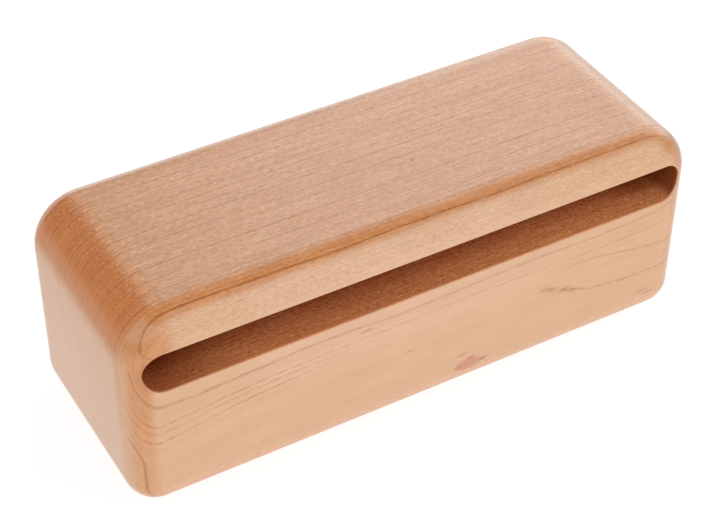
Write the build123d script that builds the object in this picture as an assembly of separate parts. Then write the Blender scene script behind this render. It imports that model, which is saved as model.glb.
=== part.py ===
from build123d import *
import os

# Concert woodblock: one slotted block of maple that stands on four small rubber feet.
# Millimetres. X runs along the block, the slot opens towards -Y and +Z is up.
# The origin is the middle of the footprint, on the plane that the feet stand on.

# The block
block_length = 200.0
block_depth = 75.5
block_height = 73.6
edge_radius = 10.0  # round-over of every edge but the two across the ends of the top
top_end_extra = 7.0  # how much rounder those two edges are

# The resonance slot, milled into the front with a round cutter
slot_height = 14.0  # the cutter's diameter, so it also rounds the slot's ends
striking_plate = 11.0  # wood between the slot and the top
end_wall = 5.5  # wood between the slot and each end
back_wall = 15.5  # wood between the slot and the back
slot_rim_radius = 0.6  # sanded easing of the slot's mouth

# The feet, glued into blind seats in the underside
foot_diameter = 13.0
foot_thickness = 2.6
foot_edge_radius = 0.8  # rounding of the edge that meets the table
seat_depth = 1.2
seat_clearance = 0.3  # gap all round a foot in its seat
foot_margin = 3.0  # flat wood between a seat and the rounded bottom edges

# Sizes that follow from those above
underside_z = foot_thickness - seat_depth
front_y = -block_depth / 2
top_end_radius = edge_radius + top_end_extra
slot_length = block_length - 2 * end_wall
slot_depth = block_depth - back_wall
slot_centre_z = underside_z + block_height - striking_plate - slot_height / 2
seat_diameter = foot_diameter + 2 * seat_clearance
foot_inset = edge_radius + foot_margin + seat_diameter / 2
foot_x = block_length / 2 - foot_inset
foot_y = block_depth / 2 - foot_inset

foot_places = {
    "foot_front_left": (-foot_x, -foot_y),
    "foot_front_right": (foot_x, -foot_y),
    "foot_rear_left": (-foot_x, foot_y),
    "foot_rear_right": (foot_x, foot_y),
}

standing_on_base = (Align.CENTER, Align.CENTER, Align.MIN)


def rounded_body():
    """The block before it is slotted: a box with its edges rounded over."""
    body = Pos(0, 0, underside_z) * Box(block_length, block_depth, block_height, align=standing_on_base)
    across = body.edges().filter_by(Axis.Y).group_by(Axis.Z)
    body = fillet(across[-1], top_end_radius)
    bottom_ends = body.edges().filter_by(Axis.Y).group_by(Axis.Z)[0]
    front_outline = body.faces().sort_by(Axis.Y)[0].edges()
    back_outline = body.faces().sort_by(Axis.Y)[-1].edges()
    return fillet(bottom_ends + front_outline + back_outline, edge_radius)


def cut_slot(body):
    """Mill the slot in from the front and ease the edge of its mouth."""
    slot_end = Plane(origin=(0, front_y + slot_depth, slot_centre_z), x_dir=(1, 0, 0), z_dir=(0, -1, 0))
    cutter = extrude(slot_end * SlotOverall(slot_length, slot_height), block_depth)
    slotted = body - cutter
    cut_edges = new_edges(body, cutter, combined=slotted)
    rim = cut_edges.filter_by(lambda edge: edge.bounding_box().max.Y < front_y + edge_radius)
    return fillet(rim, slot_rim_radius)


def sink_seats(body):
    """Blind round seats in the underside, one for each foot."""
    for x, y in foot_places.values():
        seat = Cylinder(seat_diameter / 2, seat_depth, align=standing_on_base)
        body -= Pos(x, y, underside_z) * seat
    return body


def make_foot(x, y):
    """A rubber disc with a rounded lower edge, seated flat against its seat."""
    disc = Pos(x, y, 0) * Cylinder(foot_diameter / 2, foot_thickness, align=standing_on_base)
    lower_edge = disc.edges().filter_by(GeomType.CIRCLE).sort_by(Axis.Z)[0]
    return fillet(lower_edge, foot_edge_radius)


maple_block = sink_seats(cut_slot(rounded_body()))

os.makedirs("parts", exist_ok=True)
export_step(maple_block, "parts/maple_block.step")
for name, (x, y) in foot_places.items():
    export_step(make_foot(x, y), f"parts/{name}.step")
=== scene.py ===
import math

import bpy
from mathutils import Matrix, Vector


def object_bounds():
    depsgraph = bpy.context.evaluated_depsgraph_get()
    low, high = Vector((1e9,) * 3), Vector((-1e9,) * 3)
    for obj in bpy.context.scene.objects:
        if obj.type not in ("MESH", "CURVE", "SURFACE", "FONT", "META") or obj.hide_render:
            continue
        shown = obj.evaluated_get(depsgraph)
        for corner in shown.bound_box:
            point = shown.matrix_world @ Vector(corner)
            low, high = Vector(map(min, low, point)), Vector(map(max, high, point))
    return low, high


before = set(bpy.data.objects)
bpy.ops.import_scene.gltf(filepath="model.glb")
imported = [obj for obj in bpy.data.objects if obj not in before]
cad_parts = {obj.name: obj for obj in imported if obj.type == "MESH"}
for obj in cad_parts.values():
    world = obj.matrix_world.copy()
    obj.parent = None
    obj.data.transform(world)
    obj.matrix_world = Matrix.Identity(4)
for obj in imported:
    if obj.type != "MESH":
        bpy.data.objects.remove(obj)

cad_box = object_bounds()

# Camera, fitted to the block's outline in the photograph
CAMERA_AZIMUTH = math.radians(-30.08)
CAMERA_ELEVATION = math.radians(40.62)
CAMERA_ROLL = math.radians(-0.39)
CAMERA_DISTANCE = 0.6043
CAMERA_AIM = Vector((-0.00378, -0.00119, 0.03479))
CAMERA_NEAREST = 0.01
SENSOR_WIDTH = 36.0
FOCAL_LENGTH = 94.29

# Stage
FLOOR_SIZE = 6.0
FLOOR_GLOW = 0.88
FLOOR_GREY = 0.2
WORLD_GLOW = 0.28
SOFTBOXES = (  # name, azimuth, lowest and highest elevation, spread in azimuth (degrees) and brightness
    ("back_softbox", 34.0, 8.0, 52.0, 57.0, 1.17),
    ("back_sweep", 60.0, 0.0, 14.0, 110.0, 0.9),
    ("front_softbox_low", -72.0, 0.0, 30.0, 76.0, 0.58),
    ("front_softbox_high", -72.0, 30.0, 60.0, 76.0, 0.92),
    ("left_softbox", 196.0, 18.0, 62.0, 50.0, 0.70),
    ("left_front_softbox", 232.0, 18.0, 60.0, 40.0, 0.36),
)
SOFTBOX_DISTANCE = 1.6
SOFTBOX_POWER = 4.0  # watts from each square metre of a panel whose brightness is 1

# From here on lengths are millimetres. A fade is a pair of values between which something comes on smoothly,
# followed by what it comes from and goes to where that is not 0 and 1. "By X" says that it follows the place
# along X, and "by facing X" that it follows how squarely the surface faces along X, from 0 to 1.
# A grain is the size of a noise's blobs along X, Y and Z.
MILLIMETRES = 1000.0  # in a metre
FRONT_Y = cad_box[0][1] * MILLIMETRES
TOP_Z = cad_box[1][2] * MILLIMETRES

# The slot in the front: a round-ended mouth that runs back into the block
SLOT_Z = 57.0
SLOT_HALF_HEIGHT = 7.0
SLOT_HALF_STRAIGHT = 87.5
SLOT_BACK = (23.0, 24.0, 0.0, 10.0)  # by Y: distance that is added behind the slot's inner end

# Growth rings: the tree's heart runs along X in front of the block
HEART_Y = -57.5
HEART_Z = 63.9
HEART_SWAY = 3.0
HEART_SWAY_GRAIN = (60.0, 40.0, 40.0)
RING_REACH = 92.0  # distance from the middle at which the rings have changed by the next amounts
RING_FLATTEN = 0.195  # share by which the rings' height counts for less, so that they are taller than deep
RING_FLATTEN_SKEW = 0.075  # how much more than that at the left end and less at the right
HEART_RECEDE = 1.5  # how much further from the block the heart lies
HEART_RECEDE_POWER = 4.0  # how late it does so
HEART_LIFT = 2.0  # how much higher it lies
RING_WANDER = 0.8
RING_WANDER_GRAIN = (25.0, 9.0, 9.0)
RING_JITTER = 0.45
RING_JITTER_GRAIN = (2.5, 1.0, 1.0)

# Dark lines that end some years' growth
RING_LINES = (  # radius, width, and strength on the top, at the front's left and at the front's right
    (30.2, 0.45, 0.15, 0.78, 0.50),
    (31.8, 0.45, 0.90, 0.68, 0.06),
    (33.8, 0.45, 0.15, 0.90, 0.06),
    (35.3, 0.45, 0.75, 0.20, 0.00),
    (40.2, 0.45, 0.60, 0.00, 0.00),
    (45.8, 0.50, 0.95, 0.00, 0.00),
    (48.9, 0.40, 0.40, 0.00, 0.00),
    (51.8, 0.45, 0.70, 0.06, 0.00),
    (55.6, 0.45, 0.85, 0.00, 0.00),
    (58.4, 0.40, 0.50, 0.00, 0.00),
    (61.0, 0.45, 0.75, 0.05, 0.00),
    (64.8, 0.45, 0.70, 0.00, 0.00),
    (68.3, 0.45, 0.70, 0.00, 0.00),
    (71.6, 0.50, 0.80, 0.00, 0.00),
    (74.8, 0.45, 0.70, 0.00, 0.00),
    (78.2, 0.45, 0.60, 0.00, 0.00),
    (81.4, 0.45, 0.70, 0.00, 0.00),
    (84.8, 0.45, 0.60, 0.00, 0.00),
    (88.6, 0.45, 0.65, 0.00, 0.00),
    (92.0, 0.45, 0.55, 0.00, 0.00),
    (96.2, 0.50, 0.60, 0.00, 0.00),
    (100.5, 0.45, 0.50, 0.00, 0.00),
    (105.0, 0.50, 0.55, 0.00, 0.00),
    (109.5, 0.45, 0.50, 0.00, 0.00),
)
FRONT_RIGHTWARD = (-60.0, -15.0)  # by X: from the left of the front to its right
LINE_WANING = (0.3, 0.65, 0.45, 1.0)
LINE_WANING_GRAIN = (22.0, 9.0, 9.0)
LINE_DASH = (0.33, 0.58, 0.25, 1.0)
LINE_DASH_GRAIN = (2.6, 0.8, 0.8)
LINE_ON_END = (30.0, 65.0, 0.85, 0.4)  # by Z: how much weaker on the ends
LINE_ON_BACK = (0.35, 0.85, 1.0, 0.55)  # by the normal's Y
LINE_STRENGTH = 0.7
LINE_DARKEST = 0.9

# The ring that parts the striking plate's edge from the top, and its line
STRIKE_RING = (62.0, 72.0, 26.4, 27.1)  # by Z: its radius, a little wider on the top's edge than on the front
STRIKE_SWELL = (30.0, 5.0, 0.0, 0.7)  # by distance from the middle: how much wider it is there
STRIKE_PINCH = (75.0, 64.0, 0.0, 2.6)  # by Z: how much narrower it is where it turns down at the left end
STRIKE_PINCH_LOW = (66.0, 62.5, 0.0, 2.5)  # by Z: how much narrower still close to the slot
STRIKE_PINCH_LEFT = (-80.0, -89.0)  # by X
STRIKE_PINCH_END = (59.5, 61.0)  # by Z
STRIKE_LINE = (0.0, 0.55, 1.5, 0.0)  # by distance from the ring: darkness
STRIKE_LINE_ALONG = (-80.0, 80.0, 1.1, 0.75)  # by X
STRIKE_LINE_ON_FRONT = (60.0, 64.0, 0.55, 0.25)  # by Z: how much weaker on the front
STRIKE_LINE_BREAK_Z = 60.8  # where the slot's rim breaks it
STRIKE_LINE_BREAK = (1.0, 2.4)  # by distance from there
STRIKE_LINE_PATCH = (0.35, 0.6, 0.55, 1.0)
STRIKE_LINE_PATCH_GRAIN = (6.0, 2.0, 2.0)

# Two lines at the right of the front: the upper one drops, the lower one rises to a ragged start
RIGHT_LINES_WAVER_GRAIN = (6.0, 2.0, 2.0)
RIGHT_LINES_PATCH = (0.35, 0.65, 0.2, 1.0)
RIGHT_LINES_PATCH_GRAIN = (2.4, 0.8, 0.8)
UPPER_LINE_Z = (58.0, 92.0, 37.2, 32.6)  # by X
UPPER_LINE_WAVER = 1.2
UPPER_LINE = (0.0, 0.6, 0.65, 0.0)  # by distance from it: darkness
UPPER_LINE_START = (36.0, 66.0)  # by X
UPPER_LINE_PATCHINESS = 0.6
LOWER_LINE_END = 92.0
LOWER_LINE_LENGTH = 51.0
LOWER_LINE_Z = 22.3
LOWER_LINE_RISE = 11.0
LOWER_LINE_CURVE = 3.0  # how late it rises
LOWER_LINE_WAVER = 2.4
LOWER_LINE_WIDTH = (41.0, 65.0, 2.6, 0.6)  # by X
LOWER_LINE_START = (39.0, 57.0, 0.0, 0.95)  # by X

# The line up the left front edge: its foremost place, and how fast it turns back above that
EDGE_LINE_Y = -35.6
EDGE_LINE_Z = 20.0
EDGE_LINE_BEND = 0.03
EDGE_LINE = (0.0, 0.55, 0.95, 0.0)  # by distance from it: darkness
EDGE_LINE_LEFT = (-93.0, -95.0)  # by X
EDGE_LINE_TOP = (32.0, 48.0, 1.0, 0.0)  # by Z

# The many weaker rings between those lines
YEAR_SPACING = 1.9
YEAR_DRIFT = 1.6
YEAR_DRIFT_GRAIN = 7.0
YEAR_LATE = (0.55, 0.85)  # by share of a year's growth: it darkens late in the year
YEAR_END = (0.85, 1.0, 1.0, 0.0)  # and is pale again at its end
YEAR_WEAKEST = 0.3
YEAR_PATCH = (0.3, 0.7, 0.35, 1.0)
YEAR_PATCH_GRAIN = (16.0, 5.0, 5.0)
YEAR_DASH = (0.3, 0.6, 0.35, 1.15)
YEAR_DASH_GRAIN = (3.0, 0.6, 0.6)
YEAR_UNBROKEN = (0.4, 0.8, 0.0, 0.8)  # by facing X
YEAR_STRENGTH = 0.35
YEAR_STRENGTH_ON_ENDS = 0.55  # how much stronger on the rounded ends

# Marks in the grain
FRONT_SMUDGES = (  # X, Z, half length, half thickness and strength of a short brown smudge on the front
    (-21.5, 43.4, 3.0, 0.45, 0.60),
    (-5.8, 27.7, 2.2, 0.35, 0.45),
    (13.6, 16.8, 2.6, 0.90, 0.35),
    (16.8, 14.4, 2.4, 0.70, 0.50),
    (21.6, 11.9, 2.6, 0.90, 0.60),
    (11.9, 11.7, 1.6, 1.00, 0.45),
    (44.5, 31.2, 3.6, 1.20, 0.34),
    (47.0, 30.2, 2.2, 0.70, 0.42),
    (48.5, 29.4, 6.0, 2.00, 0.12),
    (52.6, 28.4, 2.6, 0.90, 0.52),
    (55.8, 26.6, 1.9, 0.70, 0.42),
    (84.5, 13.6, 3.6, 0.80, 0.34),
    (87.0, 11.9, 3.0, 1.10, 0.26),
)
TOP_SMUDGES = (  # X, Y and the same for the top
    (12.2, -6.6, 0.8, 0.38, 0.75),
    (31.0, 9.8, 1.8, 0.35, 0.50),
)
SMUDGE_DEPTH = 2.0  # times its thickness
SMUDGE_EDGE = (0.7, 1.5)  # by share of its size
SMUDGE_RAGGEDNESS = 0.8
SMUDGE_GRAIN = (1.2, 0.5, 0.5)
KNOT_CENTRE = (15.8, FRONT_Y, 12.2)
KNOT_SIZE = (5.0, 4.0, 2.9)
KNOT_EDGE = (0.5, 1.1, 0.8, 0.0)  # by share of its size
KNOT_RAGGEDNESS = 0.8
KNOT_GRAIN = (3.0, 3.0, 1.5)

# Fibres, streaks and clouds in the wood
STREAK_GRAIN = (45.0, 0.7, 0.7)
STRAND_GRAIN = (18.0, 0.45, 0.45)
FIBRE_GRAIN = (1.6, 0.35, 0.35)
CLOUD_GRAIN = (14.0, 6.0, 6.0)
RING_TONE_GRAIN = 5.0
RING_TONE_SWING = 0.05
STREAK_SWING = 0.06
CLOUD_SWING = 0.08
STRAND_STRENGTH = 0.45
STRAND_STRENGTH_IN_SLOT = 0.15  # how much stronger in the slot
FIBRE_STRENGTH = 1.15
FIBRE_TINT = (0.57, 1.08, 1.6)  # how strongly the fibres change red, green and blue

# Where each kind of surface lies
SLOT_INSIDE = (0.45, 0.15)  # by distance from the slot's walls
SLOT_OUTSIDE = (0.6, 1.0)  # by distance from the slot's walls
SLOT_RIM = (0.9, 0.3)  # by distance from the slot's walls
SLOT_RIM_DEPTH = (-37.2, -35.5, 0.6, 0.0)  # by Y
FRONT_FACING = (-0.35, -0.85)  # by the normal's Y
TOP_FACING = (0.75, 0.95)  # by facing Z
END_FACING = (0.85, 0.99)  # by facing X
END_TILT = (0.06, 0.34, 1.0, 0.2)  # by facing Z
TOP_END_FACING = (0.05, 0.42)  # by facing X
TOP_END_RAGGEDNESS = 0.9
TOP_END_TILT = (0.02, 0.30)  # by facing Z
TOP_END_FRONT = (-0.50, 0.08)  # by the normal's Y
TOP_END_ALONG = (-60.0, 60.0, 1.0, 0.8)  # by X
BEYOND_STRIKE_RING = (-0.3, 0.2)  # by distance outside the ring
BAND_Y = (-26.2, -30.8)  # by Y: the band of painted shade along the top's front edge
BAND_RAGGEDNESS = 3.0
BAND_TILT = (0.2, 0.5)  # by facing Z
BAND_ALONG = (-90.0, 60.0, 1.0, 0.72)  # by X
BAND_AT_ENDS = (0.2, 0.6, 1.0, 0.2)  # by facing X
BAND_WITHIN_RING = (-0.42, -0.80, 0.6, 0.0)  # by the normal's Y
UPRIGHT_FACING_X = (0.12, 0.45)
UPRIGHT_FACING_Y = (0.30, 0.70)
UPRIGHT_SLOT = (0.2, 0.5)  # by distance from the slot's walls
UPRIGHT_HEIGHT = (15.0, 55.0, 0.6, 1.0)  # by Z
PLATE_CORNER_X = (-83.0, -88.5, 0.0, 0.95)  # the striking plate's left front corner, which gets painted shade
PLATE_CORNER_Z = (58.0, 63.0)
PLATE_CORNER_FRONT = (-0.2, -0.5)  # by the normal's Y
HATCH_FACING_X = (0.5, 0.8)  # where the rings are cut across and show as fine hatching
HATCH_FACING_Z = (0.0, 0.25, 0.0, 0.7)
HATCH_ON_END = (40.0, 62.0, 0.0, 0.35)  # by Z
HATCH_ON_UPRIGHT = (25.0, 60.0, 0.2, 0.8)  # by Z
OPEN_GRAIN_TILT = (0.1, 0.4, 0.12, 0.4)  # by facing Z: where the pores lie open
OPEN_FIBRE_TILT = (0.02, 0.25, 0.15, 0.6)  # by facing Z
OPEN_FIBRE_TOP_END = 0.3
OPEN_FIBRE_AT_ENDS = (0.5, 0.9, 1.0, 0.4)  # by facing X
OPEN_FIBRE_IN_SLOT = 0.75

# Where the colours below lie
RIGHT_OF_FRONT = (20.0, 95.0)  # by X
PALE_Z = (26.0, 42.0)
PALE_MIDDLE_X = 10.0
PALE_REACH = (55.0, 90.0, 0.9, 0.0)  # by distance from that middle
PALE_ALONG = (15.0, 60.0, 1.0, 0.25)  # by X
TOP_REAR = (-25.0, 30.0)  # by Y
SHOULDER_START = (0.03, 0.12)  # by facing X: painted light, paler where the top starts to round over at the left
SHOULDER_END = (0.2, 0.35, 1.0, 0.0)  # by facing X
SHOULDER_LEFT = (0.0, -60.0, 0.0, 0.16)  # by X
ROUNDED_LOW = (0.62, 0.36)  # by facing Z
ROUNDED_RIGHT = (-60.0, 60.0)  # by X
END_HIGH = (20.0, 60.0)  # by Z
# Painted shade at the right front corner, beside the slot's right end
RIGHT_CORNER_FRONT = (-0.08, -0.30)  # by the normal's Y
RIGHT_CORNER_FACING = (0.4, 0.62)  # by facing X
RIGHT_CORNER_X = (80.0, 92.0)
RIGHT_CORNER_Z = (56.0, 66.0)
RIGHT_CORNER_SHARE = 0.8
SLOT_SIDE_GAP = (2.4, 0.7)  # by distance from the slot's walls: painted shade on the wood beside the slot's left end
SLOT_SIDE_X = (-91.0, -94.5, 0.0, 0.8)
SLOT_RIGHT = (-20.0, 80.0)  # by X
SLOT_SHADE_DEPTH = (-37.0, -18.0, 0.0, 0.5)  # by Y: painted shade, darker deeper in the slot
SLOT_SHADE_LEFT = (-58.0, -94.0, 0.0, 0.6)  # by X
SLOT_SHADE_RIGHT = (50.0, 90.0, 0.0, 0.12)  # by X
SLOT_SHADE_RIGHT_DEEP_Y = (-32.5, -28.0, 0.0, 0.28)
SLOT_SHADE_RIGHT_DEEP_X = (74.0, 84.0)
RIGHT_WALL_FACING = (0.25, 0.8, 0.0, 0.9)  # by facing X: painted shadow on the slot's right end wall
RIGHT_WALL_X = (60.0, 80.0)
SLOT_END_FACING = (0.1, 0.5)  # by facing X

# Colours of the finished maple, linear, and of the painted shade and light laid on it
MAPLE = (0.705, 0.400, 0.220)
MAPLE_RIGHT = (0.705, 0.390, 0.205)
MAPLE_PALE = (0.733, 0.428, 0.256)
MAPLE_TOP = (0.735, 0.374, 0.198)
MAPLE_TOP_REAR = (0.768, 0.402, 0.225)
BAND_SHADE_COLOUR = (0.720, 0.278, 0.088)
UPRIGHT_EDGE_SHADE = (0.640, 0.272, 0.100)
ROUNDED_END_SHADE = (0.740, 0.245, 0.066)
ROUNDED_LOW_SHADE = (0.640, 0.182, 0.008)
ROUNDED_RIGHT_SHADE = (0.640, 0.345, 0.185)
RIGHT_CORNER_SHADE = (0.420, 0.190, 0.070)
MAPLE_END = (0.645, 0.312, 0.130)
MAPLE_END_LOW = (0.690, 0.365, 0.185)
SLOT_SIDE_SHADE = (0.510, 0.185, 0.050)
SLOT_WOOD_AND_SHADE = (0.675, 0.269, 0.107)
SLOT_WOOD_AND_SHADE_RIGHT = (0.765, 0.320, 0.128)
RING_BROWN = (0.400, 0.118, 0.016)
YEAR_BROWN = (0.450, 0.155, 0.020)
SLOT_SHADE_BROWN = (0.275, 0.042, 0.004)
SLOT_SHADOW_DARK = (0.230, 0.057, 0.013)
KNOT_PINK = (0.600, 0.235, 0.130)

# Lacquer and rubber
LACQUER_ROUGHNESS = (0.3, 0.7, 0.235, 0.265)  # by the clouds
LACQUER_RELIEF = 0.00001  # metres
LACQUER_IOR = 1.5
LACQUER_SPECULAR = 0.8
RUBBER = (0.020, 0.019, 0.018)
RUBBER_DUSTY = (0.030, 0.028, 0.026)
RUBBER_DUST = (0.35, 0.7)
RUBBER_DUST_GRAIN = (2.5, 2.5, 2.5)
RUBBER_PIT_GRAIN = (0.35, 0.35, 0.35)
RUBBER_ROUGHNESS = (0.3, 0.7, 0.68, 0.82)  # by the pits
RUBBER_RELIEF = 0.00004  # metres


class Graph:
    """Builds a material's node tree from expressions."""

    def __init__(self, name):
        self.material = bpy.data.materials.new(name)
        self.material.use_nodes = True
        self.nodes = self.material.node_tree.nodes
        self.links = self.material.node_tree.links
        self.shader = self.nodes["Principled BSDF"]

    def put(self, value, socket):
        """Link a socket to another socket's output, or set it to a plain value."""
        if isinstance(value, bpy.types.NodeSocket):
            self.links.new(value, socket)
        else:
            socket.default_value = value

    def math(self, operation, *values):
        node = self.nodes.new("ShaderNodeMath")
        node.operation = operation
        for value, socket in zip(values, node.inputs):
            self.put(value, socket)
        return node.outputs[0]

    def chain(self, operation, first, *others):
        """Apply an operation to the first value and the second, then to that and the third, and so on."""
        for other in others:
            first = self.math(operation, first, other)
        return first

    def product(self, *values):
        return self.chain("MULTIPLY", *values)

    def total(self, *values):
        return self.chain("ADD", *values)

    def largest(self, *values):
        return self.chain("MAXIMUM", *values)

    def multiply_add(self, value, factor, addend):
        return self.math("MULTIPLY_ADD", value, factor, addend)

    def less(self, value, taken):
        return self.math("SUBTRACT", value, taken)

    def remainder(self, share):
        """What a share leaves of 1."""
        return self.less(1.0, share)

    def distance(self, value, other):
        return self.math("ABSOLUTE", self.less(value, other))

    def vector(self, operation, *values):
        node = self.nodes.new("ShaderNodeVectorMath")
        node.operation = operation
        for value, socket in zip(values, node.inputs):
            self.put(value, socket)
        return node.outputs["Value" if operation == "LENGTH" else "Vector"]

    def scaled(self, vector, factor):
        """A place or colour times one factor."""
        node = self.nodes.new("ShaderNodeVectorMath")
        node.operation = "SCALE"
        self.put(vector, node.inputs[0])
        self.put(factor, node.inputs["Scale"])
        return node.outputs["Vector"]

    def parts(self, vector):
        node = self.nodes.new("ShaderNodeSeparateXYZ")
        self.put(vector, node.inputs[0])
        return node.outputs

    def noise(self, place, grain, detail=2.0):
        """Smooth noise from 0 to 1."""
        node = self.nodes.new("ShaderNodeTexNoise")
        self.put(self.vector("DIVIDE", place, grain), node.inputs["Vector"])
        node.inputs["Scale"].default_value = 1.0
        node.inputs["Detail"].default_value = detail
        return node.outputs[0]

    def centred_noise(self, place, grain, detail=2.0):
        """Smooth noise about 0."""
        return self.less(self.noise(place, grain, detail), 0.5)

    def noise_along(self, distance, grain):
        """Smooth noise from 0 to 1 along one distance."""
        node = self.nodes.new("ShaderNodeTexNoise")
        node.noise_dimensions = "1D"
        self.put(self.math("DIVIDE", distance, grain), node.inputs["W"])
        node.inputs["Scale"].default_value = 1.0
        return node.outputs[0]

    def random(self, whole):
        """A number from 0 to 1 that belongs to a whole number."""
        node = self.nodes.new("ShaderNodeTexWhiteNoise")
        node.noise_dimensions = "1D"
        self.put(whole, node.inputs["W"])
        return node.outputs["Value"]

    def swing(self, noise, amount):
        """Turn noise from 0 to 1 into a factor that swings about 1 by amount."""
        return self.multiply_add(self.less(noise, 0.5), 2.0 * amount, 1.0)

    def fade(self, value, low, high, to_low=0.0, to_high=1.0):
        """A smooth step from to_low at low to to_high at high."""
        node = self.nodes.new("ShaderNodeMapRange")
        node.interpolation_type = "SMOOTHSTEP"
        for item, socket in zip((value, low, high, to_low, to_high), node.inputs):
            self.put(item, socket)
        return node.outputs[0]

    def blend(self, factor, first, second):
        node = self.nodes.new("ShaderNodeMix")
        node.data_type = "RGBA"
        self.put(factor, node.inputs["Factor"])
        self.put(opaque(first), node.inputs[6])
        self.put(opaque(second), node.inputs[7])
        return node.outputs[2]

    def bump(self, height, distance):
        """A normal that follows a height from 0 to 1, of that depth in metres."""
        node = self.nodes.new("ShaderNodeBump")
        node.inputs["Distance"].default_value = distance
        self.put(height, node.inputs["Height"])
        return node.outputs["Normal"]


class Spot:
    """A point of the wood's surface: where it lies, which way it faces and what kind of surface it is on."""

    def __init__(self, graph):
        coordinates = graph.nodes.new("ShaderNodeTexCoord")
        normal = graph.nodes.new("ShaderNodeNewGeometry").outputs["Normal"]
        self.place = graph.scaled(coordinates.outputs["Object"], MILLIMETRES)
        self.x, self.y, self.z = graph.parts(self.place)
        self.normal_y = graph.parts(normal)[1]
        self.facing_x, self.facing_y, self.facing_z = graph.parts(graph.vector("ABSOLUTE", normal))
        self.streak = graph.noise(self.place, STREAK_GRAIN, detail=3.0)
        self.cloud = graph.noise(self.place, CLOUD_GRAIN, detail=3.0)
        self.radius = ring_radius(graph, self)
        self.strike_gap = strike_gap(graph, self)
        self.slot_gap = slot_gap(graph, self)
        self.in_slot = graph.fade(self.slot_gap, *SLOT_INSIDE)
        self.front = graph.fade(self.normal_y, *FRONT_FACING)
        self.upward = graph.fade(self.facing_z, *TOP_FACING)
        self.end_face = end_face(graph, self)
        self.top_end = top_end(graph, self)
        self.upright = upright_edge(graph, self)
        self.hatch = hatch(graph, self)
        self.open_grain = open_grain(graph, self)


def opaque(colour):
    return (*colour, 1.0) if isinstance(colour, tuple) else colour


def add_camera():
    """A camera that looks at the block as the photograph does."""
    level = math.cos(CAMERA_ELEVATION)
    back = Vector((
        math.sin(CAMERA_AZIMUTH) * level,
        -math.cos(CAMERA_AZIMUTH) * level,
        math.sin(CAMERA_ELEVATION),
    ))
    right = Vector((math.cos(CAMERA_AZIMUTH), math.sin(CAMERA_AZIMUTH), 0.0))
    up = back.cross(right)
    rolled_right = right * math.cos(CAMERA_ROLL) - up * math.sin(CAMERA_ROLL)
    rolled_up = right * math.sin(CAMERA_ROLL) + up * math.cos(CAMERA_ROLL)
    turn = Matrix((rolled_right, rolled_up, back)).transposed().to_4x4()
    data = bpy.data.cameras.new("camera")
    data.sensor_fit = "HORIZONTAL"
    data.sensor_width = SENSOR_WIDTH
    data.lens = FOCAL_LENGTH
    data.clip_start = CAMERA_NEAREST
    camera = bpy.data.objects.new("camera", data)
    camera.matrix_world = Matrix.Translation(CAMERA_AIM + back * CAMERA_DISTANCE) @ turn
    bpy.context.scene.collection.objects.link(camera)
    bpy.context.scene.camera = camera


def add_floor():
    """A pale floor that glows softly, as an overexposed studio table does."""
    half = FLOOR_SIZE / 2
    mesh = bpy.data.meshes.new("floor")
    corners = [(-half, -half, 0), (half, -half, 0), (half, half, 0), (-half, half, 0)]
    mesh.from_pydata(corners, [], [(0, 1, 2, 3)])
    floor = bpy.data.objects.new("floor", mesh)
    bpy.context.scene.collection.objects.link(floor)
    graph = Graph("floor")
    shader = graph.shader
    shader.inputs["Base Color"].default_value = (FLOOR_GREY, FLOOR_GREY, FLOOR_GREY, 1)
    shader.inputs["Roughness"].default_value = 1.0
    shader.inputs["Specular IOR Level"].default_value = 0.0
    shader.inputs["Emission Color"].default_value = (1, 1, 1, 1)
    shader.inputs["Emission Strength"].default_value = FLOOR_GLOW
    mesh.materials.append(graph.material)


def add_softbox(name, azimuth, lowest, highest, spread, brightness):
    """A large soft panel that faces the block and fills those angles as the block sees them."""
    heading = math.radians(azimuth)
    tilt = math.radians((lowest + highest) / 2)
    toward = Vector((math.cos(heading) * math.cos(tilt), math.sin(heading) * math.cos(tilt), math.sin(tilt)))
    data = bpy.data.lights.new(name, "AREA")
    data.shape = "RECTANGLE"
    data.size = 2 * SOFTBOX_DISTANCE * math.tan(math.radians(spread) / 2)
    data.size_y = 2 * SOFTBOX_DISTANCE * math.tan(math.radians(highest - lowest) / 2)
    data.energy = SOFTBOX_POWER * brightness * data.size * data.size_y
    light = bpy.data.objects.new(name, data)
    light.location = toward * SOFTBOX_DISTANCE
    light.rotation_euler = toward.to_track_quat("Z", "Y").to_euler()
    bpy.context.scene.collection.objects.link(light)


def add_world():
    world = bpy.data.worlds.new("studio")
    world.use_nodes = True
    background = world.node_tree.nodes["Background"]
    background.inputs["Color"].default_value = (1, 1, 1, 1)
    background.inputs["Strength"].default_value = WORLD_GLOW
    bpy.context.scene.world = world
    bpy.context.scene.view_settings.view_transform = "Standard"


def ring_radius(graph, spot):
    """Distance from the tree's heart, in rings that change towards the ends and wander as growth does."""
    reach = graph.math("DIVIDE", spot.x, RING_REACH)
    reach_squared = graph.product(reach, reach)
    share = graph.multiply_add(reach, -RING_FLATTEN_SKEW, RING_FLATTEN)
    flatten = graph.remainder(graph.product(share, reach_squared))
    recede = graph.product(graph.math("POWER", reach_squared, HEART_RECEDE_POWER), HEART_RECEDE)
    sway = graph.centred_noise(spot.place, HEART_SWAY_GRAIN, detail=1.0)
    heart_z = graph.multiply_add(sway, HEART_SWAY, HEART_Z)
    heart_z = graph.multiply_add(reach_squared, HEART_LIFT, heart_z)
    across = graph.total(graph.less(spot.y, HEART_Y), recede)
    above = graph.product(graph.less(spot.z, heart_z), flatten)
    radius = graph.math("SQRT", graph.multiply_add(above, above, graph.product(across, across)))
    wander = graph.centred_noise(spot.place, RING_WANDER_GRAIN)
    jitter = graph.centred_noise(spot.place, RING_JITTER_GRAIN, detail=1.0)
    radius = graph.multiply_add(wander, RING_WANDER, radius)
    return graph.multiply_add(jitter, RING_JITTER, radius)


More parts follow.
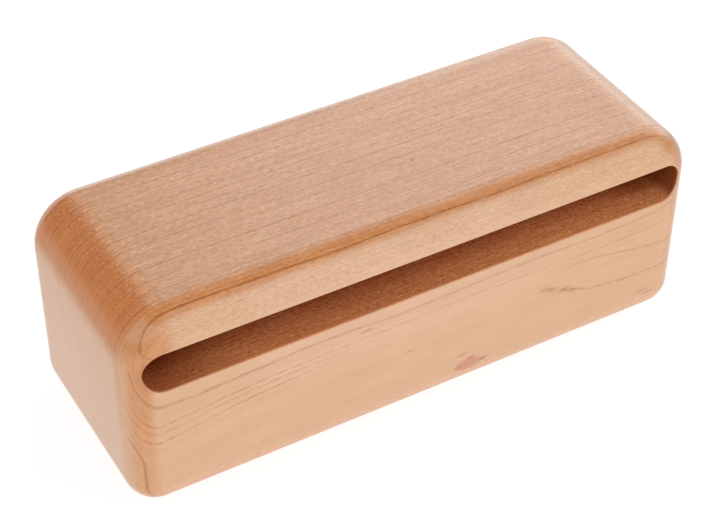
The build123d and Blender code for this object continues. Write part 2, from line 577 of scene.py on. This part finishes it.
def strike_gap(graph, spot):
    """Distance outside the ring that parts the striking plate's edge from the top."""
    off_middle = graph.math("ABSOLUTE", spot.x)
    ring = graph.total(graph.fade(spot.z, *STRIKE_RING), graph.fade(off_middle, *STRIKE_SWELL))
    pinch = graph.total(graph.fade(spot.z, *STRIKE_PINCH), graph.fade(spot.z, *STRIKE_PINCH_LOW))
    pinched = graph.product(
        pinch,
        graph.fade(spot.x, *STRIKE_PINCH_LEFT),
        graph.fade(spot.z, *STRIKE_PINCH_END),
    )
    return graph.total(graph.less(spot.radius, ring), pinched)


def slot_gap(graph, spot):
    """Distance from the slot's mouth, seen from the front: nought on its walls and more outside."""
    along = graph.largest(graph.less(graph.math("ABSOLUTE", spot.x), SLOT_HALF_STRAIGHT), 0.0)
    across = graph.less(spot.z, SLOT_Z)
    from_middle = graph.math("SQRT", graph.multiply_add(across, across, graph.product(along, along)))
    return graph.total(graph.less(from_middle, SLOT_HALF_HEIGHT), graph.fade(spot.y, *SLOT_BACK))


def end_face(graph, spot):
    """Where the flat of an end lies."""
    return graph.product(graph.fade(spot.facing_x, *END_FACING), graph.fade(spot.facing_z, *END_TILT))


def top_end(graph, spot):
    """Where the top rounds over into an end, with a ragged start along the streaks."""
    ragged = graph.product(spot.facing_x, graph.swing(spot.streak, TOP_END_RAGGEDNESS))
    return graph.product(
        graph.fade(ragged, *TOP_END_FACING),
        graph.fade(spot.facing_z, *TOP_END_TILT),
        graph.fade(spot.normal_y, *TOP_END_FRONT),
        graph.fade(spot.x, *TOP_END_ALONG),
    )


def front_band_shade(graph, spot):
    """Where the band of painted shade along the top's front edge lies."""
    ragged = graph.multiply_add(graph.less(spot.cloud, 0.5), BAND_RAGGEDNESS, spot.y)
    beyond_ring = graph.fade(spot.strike_gap, *BEYOND_STRIKE_RING)
    within_ring = graph.fade(spot.normal_y, *BAND_WITHIN_RING)
    return graph.product(
        graph.fade(ragged, *BAND_Y),
        graph.fade(spot.facing_z, *BAND_TILT),
        graph.fade(spot.x, *BAND_ALONG),
        graph.fade(spot.facing_x, *BAND_AT_ENDS),
        graph.largest(beyond_ring, within_ring),
    )


def upright_edge(graph, spot):
    """Where the rounded upright edges lie, and the striking plate's left front corner."""
    edge = graph.product(
        graph.fade(spot.facing_x, *UPRIGHT_FACING_X),
        graph.fade(spot.facing_y, *UPRIGHT_FACING_Y),
    )
    plate_corner = graph.product(
        graph.fade(spot.x, *PLATE_CORNER_X),
        graph.fade(spot.z, *PLATE_CORNER_Z),
        graph.fade(spot.normal_y, *PLATE_CORNER_FRONT),
    )
    return graph.product(
        graph.largest(edge, plate_corner),
        graph.fade(spot.slot_gap, *UPRIGHT_SLOT),
        graph.fade(spot.z, *UPRIGHT_HEIGHT),
    )


def hatch(graph, spot):
    """Where the rings are cut across and show as fine hatching."""
    rounded = graph.product(
        graph.fade(spot.facing_x, *HATCH_FACING_X),
        graph.fade(spot.facing_z, *HATCH_FACING_Z),
    )
    on_end = graph.product(spot.end_face, graph.fade(spot.z, *HATCH_ON_END))
    on_upright = graph.product(spot.upright, graph.fade(spot.z, *HATCH_ON_UPRIGHT))
    outside_slot = graph.fade(spot.slot_gap, *SLOT_OUTSIDE)
    return graph.product(graph.largest(rounded, on_end, on_upright), outside_slot)


def open_grain(graph, spot):
    """How far the pores lie open."""
    tilted = graph.fade(spot.facing_z, *OPEN_GRAIN_TILT)
    return graph.largest(spot.upward, spot.top_end, spot.in_slot, tilted)


def open_fibre(graph, spot):
    """How strongly the fibres show."""
    shown = graph.largest(spot.open_grain, graph.fade(spot.facing_z, *OPEN_FIBRE_TILT))
    shown = graph.multiply_add(spot.top_end, OPEN_FIBRE_TOP_END, shown)
    shown = graph.product(shown, graph.fade(spot.facing_x, *OPEN_FIBRE_AT_ENDS))
    shown = graph.multiply_add(spot.in_slot, OPEN_FIBRE_IN_SLOT, shown)
    slot_rim = graph.product(graph.fade(spot.slot_gap, *SLOT_RIM), graph.fade(spot.y, *SLOT_RIM_DEPTH))
    return graph.product(shown, graph.remainder(slot_rim))


def ring_lines(graph, spot):
    """Darkness of the thin brown lines that end some years' growth."""
    rightward = graph.fade(spot.x, *FRONT_RIGHTWARD)
    total = 0.0
    for radius, width, top_strength, left_strength, right_strength in RING_LINES:
        line = graph.fade(graph.distance(spot.radius, radius), 0.0, width, 1.0, 0.0)
        front_strength = graph.multiply_add(rightward, right_strength - left_strength, left_strength)
        change = graph.less(front_strength, top_strength)
        strength = graph.multiply_add(spot.front, change, top_strength)
        total = graph.multiply_add(line, strength, total)
    waning = graph.fade(graph.noise(spot.place, LINE_WANING_GRAIN), *LINE_WANING)
    dash = graph.fade(graph.noise(spot.place, LINE_DASH_GRAIN, detail=1.0), *LINE_DASH)
    return graph.product(total, waning, dash)


def strike_line(graph, spot):
    """Darkness of the line along the ring that parts the striking plate's edge from the top."""
    weaker = graph.product(spot.front, graph.fade(spot.z, *STRIKE_LINE_ON_FRONT))
    from_break = graph.distance(spot.z, STRIKE_LINE_BREAK_Z)
    return graph.product(
        graph.fade(graph.math("ABSOLUTE", spot.strike_gap), *STRIKE_LINE),
        graph.fade(spot.x, *STRIKE_LINE_ALONG),
        graph.remainder(weaker),
        graph.fade(from_break, *STRIKE_LINE_BREAK),
        graph.fade(graph.noise(spot.place, STRIKE_LINE_PATCH_GRAIN), *STRIKE_LINE_PATCH),
    )


def right_lines(graph, spot):
    """Darkness of the two lines at the right of the front."""
    waver = graph.centred_noise(spot.place, RIGHT_LINES_WAVER_GRAIN, detail=3.0)
    patch = graph.fade(graph.noise(spot.place, RIGHT_LINES_PATCH_GRAIN), *RIGHT_LINES_PATCH)
    wavering_z = graph.multiply_add(waver, UPPER_LINE_WAVER, spot.z)
    upper_gap = graph.distance(wavering_z, graph.fade(spot.x, *UPPER_LINE_Z))
    upper = graph.product(
        graph.fade(upper_gap, *UPPER_LINE),
        graph.fade(spot.x, *UPPER_LINE_START),
        graph.multiply_add(patch, UPPER_LINE_PATCHINESS, 1.0 - UPPER_LINE_PATCHINESS),
    )
    from_end = graph.math("DIVIDE", graph.less(LOWER_LINE_END, spot.x), LOWER_LINE_LENGTH)
    curve = graph.math("POWER", from_end, LOWER_LINE_CURVE)
    lower_z = graph.multiply_add(curve, LOWER_LINE_RISE, LOWER_LINE_Z)
    lower_gap = graph.distance(graph.multiply_add(waver, LOWER_LINE_WAVER, spot.z), lower_z)
    share = graph.math("DIVIDE", lower_gap, graph.fade(spot.x, *LOWER_LINE_WIDTH))
    lower = graph.product(
        graph.remainder(graph.math("MINIMUM", share, 1.0)),
        patch,
        graph.fade(spot.x, *LOWER_LINE_START),
    )
    return graph.product(graph.total(lower, upper), spot.front)


def edge_line(graph, spot):
    """Darkness of the line up the left front edge."""
    rise = graph.largest(graph.less(spot.z, EDGE_LINE_Z), 0.0)
    line_y = graph.multiply_add(graph.product(rise, rise), EDGE_LINE_BEND, EDGE_LINE_Y)
    return graph.product(
        graph.fade(graph.distance(spot.y, line_y), *EDGE_LINE),
        graph.fade(spot.x, *EDGE_LINE_LEFT),
        graph.fade(spot.z, *EDGE_LINE_TOP),
    )


def dark_lines(graph, spot):
    """Darkness of all the separate lines, weaker on the ends and the back and absent in the slot."""
    lines = graph.total(
        ring_lines(graph, spot),
        right_lines(graph, spot),
        edge_line(graph, spot),
        strike_line(graph, spot),
    )
    on_end = graph.product(spot.end_face, graph.fade(spot.z, *LINE_ON_END))
    lines = graph.product(
        lines,
        graph.remainder(on_end),
        graph.remainder(spot.in_slot),
        graph.fade(spot.normal_y, *LINE_ON_BACK),
    )
    return graph.math("MINIMUM", graph.product(lines, LINE_STRENGTH), LINE_DARKEST)


def year_lines(graph, spot):
    """Darkness of the many weak rings, each of its own strength and broken into dashes."""
    drift = graph.noise_along(spot.radius, YEAR_DRIFT_GRAIN)
    years = graph.multiply_add(drift, YEAR_DRIFT, graph.math("DIVIDE", spot.radius, YEAR_SPACING))
    growth = graph.math("FRACT", years)
    chance = graph.random(graph.math("FLOOR", years))
    dash = graph.fade(graph.noise(spot.place, YEAR_DASH_GRAIN, detail=1.0), *YEAR_DASH)
    slot_end = graph.product(spot.in_slot, graph.fade(spot.facing_x, *SLOT_END_FACING))
    lines = graph.product(
        graph.fade(growth, *YEAR_LATE),
        graph.fade(growth, *YEAR_END),
        graph.largest(dash, graph.fade(spot.facing_x, *YEAR_UNBROKEN)),
        graph.multiply_add(chance, 1.0 - YEAR_WEAKEST, YEAR_WEAKEST),
        graph.fade(graph.noise(spot.place, YEAR_PATCH_GRAIN), *YEAR_PATCH),
        graph.largest(spot.open_grain, spot.hatch),
        graph.remainder(slot_end),
    )
    on_ends = graph.largest(spot.hatch, spot.top_end)
    return graph.product(lines, graph.multiply_add(on_ends, YEAR_STRENGTH_ON_ENDS, YEAR_STRENGTH))


def smudges(graph, spot):
    """Darkness of the few brown smudges that lie in the grain."""
    on_front = [((x, FRONT_Y, z), *size) for x, z, *size in FRONT_SMUDGES]
    on_top = [((x, y, TOP_Z), *size) for x, y, *size in TOP_SMUDGES]
    noise = graph.noise(spot.place, SMUDGE_GRAIN)
    total = 0.0
    for centre, half_length, half_thickness, strength in on_front + on_top:
        size = (half_length, half_thickness * SMUDGE_DEPTH, half_thickness)
        shape = graph.vector("DIVIDE", graph.vector("SUBTRACT", spot.place, centre), size)
        ragged = graph.multiply_add(noise, SMUDGE_RAGGEDNESS, graph.vector("LENGTH", shape))
        total = graph.total(total, graph.fade(ragged, *SMUDGE_EDGE, strength, 0.0))
    return total


def knot(graph, spot):
    """How much of the knot's pink heart shows, at the foot of the front."""
    shape = graph.vector("DIVIDE", graph.vector("SUBTRACT", spot.place, KNOT_CENTRE), KNOT_SIZE)
    noise = graph.centred_noise(spot.place, KNOT_GRAIN)
    ragged = graph.multiply_add(noise, KNOT_RAGGEDNESS, graph.vector("LENGTH", shape))
    return graph.fade(ragged, *KNOT_EDGE)


def front_colour(graph, spot):
    """The front's colour, palest high in the middle."""
    colour = graph.blend(graph.fade(spot.x, *RIGHT_OF_FRONT), MAPLE, MAPLE_RIGHT)
    pale = graph.product(
        graph.fade(spot.z, *PALE_Z),
        graph.fade(graph.distance(spot.x, PALE_MIDDLE_X), *PALE_REACH),
        graph.fade(spot.x, *PALE_ALONG),
    )
    return graph.blend(pale, colour, MAPLE_PALE)


def outer_colour(graph, spot):
    """The colour of the block's outside, from face to face, with painted shade along the top's front edge, on
    the roundings, on the upright edges, at the right front corner and beside the slot's left end, and painted
    light where the top starts to round over at the left.
    """
    top_colour = graph.blend(graph.fade(spot.y, *TOP_REAR), MAPLE_TOP, MAPLE_TOP_REAR)
    colour = graph.blend(spot.upward, front_colour(graph, spot), top_colour)
    # Painted light: the top lighter where it starts to round over at the left
    shoulder_light = graph.product(
        graph.fade(spot.facing_x, *SHOULDER_START),
        graph.fade(spot.facing_x, *SHOULDER_END),
        spot.upward,
        graph.fade(spot.x, *SHOULDER_LEFT),
    )
    colour = graph.scaled(colour, graph.total(shoulder_light, 1.0))
    # Painted shade: the rounded upright edges and the plate's left front corner darker and more orange
    colour = graph.blend(spot.upright, colour, UPRIGHT_EDGE_SHADE)
    # Painted shade: the top's front rounding darker and more orange
    colour = graph.blend(front_band_shade(graph, spot), colour, BAND_SHADE_COLOUR)
    # Painted shade: the top's roundings into the ends darker and deeper orange, most at the left and where
    # they turn furthest down
    rounded_left_shade = graph.blend(graph.fade(spot.facing_z, *ROUNDED_LOW), ROUNDED_END_SHADE, ROUNDED_LOW_SHADE)
    rounded_shade_colour = graph.blend(graph.fade(spot.x, *ROUNDED_RIGHT), rounded_left_shade, ROUNDED_RIGHT_SHADE)
    colour = graph.blend(spot.top_end, colour, rounded_shade_colour)
    end_colour = graph.blend(graph.fade(spot.z, *END_HIGH), MAPLE_END_LOW, MAPLE_END)
    colour = graph.blend(spot.end_face, colour, end_colour)
    # Painted shade: the right front corner darker
    right_corner_shade = graph.product(
        graph.fade(spot.normal_y, *RIGHT_CORNER_FRONT),
        graph.fade(spot.facing_x, *RIGHT_CORNER_FACING),
        graph.fade(spot.x, *RIGHT_CORNER_X),
        graph.fade(spot.z, *RIGHT_CORNER_Z),
        RIGHT_CORNER_SHARE,
    )
    colour = graph.blend(right_corner_shade, colour, RIGHT_CORNER_SHADE)
    # Painted shade beside the slot's left end
    slot_side_shade = graph.product(graph.fade(spot.slot_gap, *SLOT_SIDE_GAP), graph.fade(spot.x, *SLOT_SIDE_X))
    return graph.blend(slot_side_shade, colour, SLOT_SIDE_SHADE)


def with_slot(graph, spot, colour):
    """That colour with the slot's walls added, in a darker orange that is partly painted shade, with more
    painted shade towards the back and the ends and a painted shadow on the right end's wall.
    """
    # The slot's walls: wood colour with painted shade, lighter towards the right
    slot_wood_and_shade = graph.blend(graph.fade(spot.x, *SLOT_RIGHT), SLOT_WOOD_AND_SHADE, SLOT_WOOD_AND_SHADE_RIGHT)
    colour = graph.blend(spot.in_slot, colour, slot_wood_and_shade)
    shade_right_deep = graph.product(
        graph.fade(spot.y, *SLOT_SHADE_RIGHT_DEEP_Y),
        graph.fade(spot.x, *SLOT_SHADE_RIGHT_DEEP_X),
    )
    # Painted shade in the slot: deeper in, at the left end and at the right end
    slot_shade = graph.total(
        graph.fade(spot.x, *SLOT_SHADE_LEFT),
        graph.fade(spot.x, *SLOT_SHADE_RIGHT),
        shade_right_deep,
        graph.fade(spot.y, *SLOT_SHADE_DEPTH),
    )
    colour = graph.blend(graph.product(slot_shade, spot.in_slot), colour, SLOT_SHADE_BROWN)
    # Painted shadow on the slot's right end wall
    right_wall_shadow = graph.product(
        graph.fade(spot.facing_x, *RIGHT_WALL_FACING),
        graph.fade(spot.x, *RIGHT_WALL_X),
        spot.in_slot,
    )
    return graph.blend(right_wall_shadow, colour, SLOT_SHADOW_DARK)


def mottled(graph, spot, colour):
    """That colour, lighter and darker from ring to ring, streak to streak and cloud to cloud."""
    ring_tone = graph.noise_along(spot.radius, RING_TONE_GRAIN)
    swings = (
        (ring_tone, RING_TONE_SWING),
        (spot.streak, STREAK_SWING),
        (spot.cloud, CLOUD_SWING),
    )
    for noise, amount in swings:
        colour = graph.scaled(colour, graph.swing(noise, amount))
    return colour


def fibre_height(graph, spot):
    """Height of the fibres and of the longer strands, about 0."""
    strand = graph.centred_noise(spot.place, STRAND_GRAIN, detail=1.0)
    fibre = graph.centred_noise(spot.place, FIBRE_GRAIN, detail=1.0)
    strand_strength = graph.multiply_add(spot.in_slot, STRAND_STRENGTH_IN_SLOT, STRAND_STRENGTH)
    height = graph.multiply_add(fibre, FIBRE_STRENGTH, graph.product(strand, strand_strength))
    return graph.product(height, open_fibre(graph, spot))


def maple():
    """Satin-lacquered maple, cut from one solid, so the grain runs through every face, with painted shade and
    light in its colour.
    """
    graph = Graph("maple")
    spot = Spot(graph)
    colour = with_slot(graph, spot, outer_colour(graph, spot))
    colour = mottled(graph, spot, colour)
    fibres = fibre_height(graph, spot)
    tint = graph.vector("ADD", graph.scaled(FIBRE_TINT, fibres), (1.0, 1.0, 1.0))
    colour = graph.vector("MULTIPLY", colour, tint)
    colour = graph.blend(knot(graph, spot), colour, KNOT_PINK)
    colour = graph.blend(year_lines(graph, spot), colour, YEAR_BROWN)
    colour = graph.blend(dark_lines(graph, spot), colour, RING_BROWN)
    colour = graph.blend(smudges(graph, spot), colour, RING_BROWN)

    # Lacquer: satin, a little uneven, with the grain just showing through it
    shader = graph.shader
    graph.put(colour, shader.inputs["Base Color"])
    graph.put(graph.fade(spot.cloud, *LACQUER_ROUGHNESS), shader.inputs["Roughness"])
    graph.put(graph.bump(fibres, LACQUER_RELIEF), shader.inputs["Normal"])
    shader.inputs["IOR"].default_value = LACQUER_IOR
    shader.inputs["Specular IOR Level"].default_value = LACQUER_SPECULAR
    return graph.material


def rubber():
    """Matt black rubber, finely pitted and a little dusty."""
    graph = Graph("rubber")
    coordinates = graph.nodes.new("ShaderNodeTexCoord")
    place = graph.scaled(coordinates.outputs["Object"], MILLIMETRES)
    dust = graph.noise(place, RUBBER_DUST_GRAIN, detail=3.0)
    pits = graph.noise(place, RUBBER_PIT_GRAIN)
    colour = graph.blend(graph.fade(dust, *RUBBER_DUST), RUBBER, RUBBER_DUSTY)
    graph.put(colour, graph.shader.inputs["Base Color"])
    graph.put(graph.fade(pits, *RUBBER_ROUGHNESS), graph.shader.inputs["Roughness"])
    graph.put(graph.bump(pits, RUBBER_RELIEF), graph.shader.inputs["Normal"])
    return graph.material


add_camera()
add_floor()
add_world()
for softbox in SOFTBOXES:
    add_softbox(*softbox)

block_finish = maple()
foot_finish = rubber()
for name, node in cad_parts.items():
    node.data.materials.clear()
    node.data.materials.append(block_finish if name == "maple_block" else foot_finish)
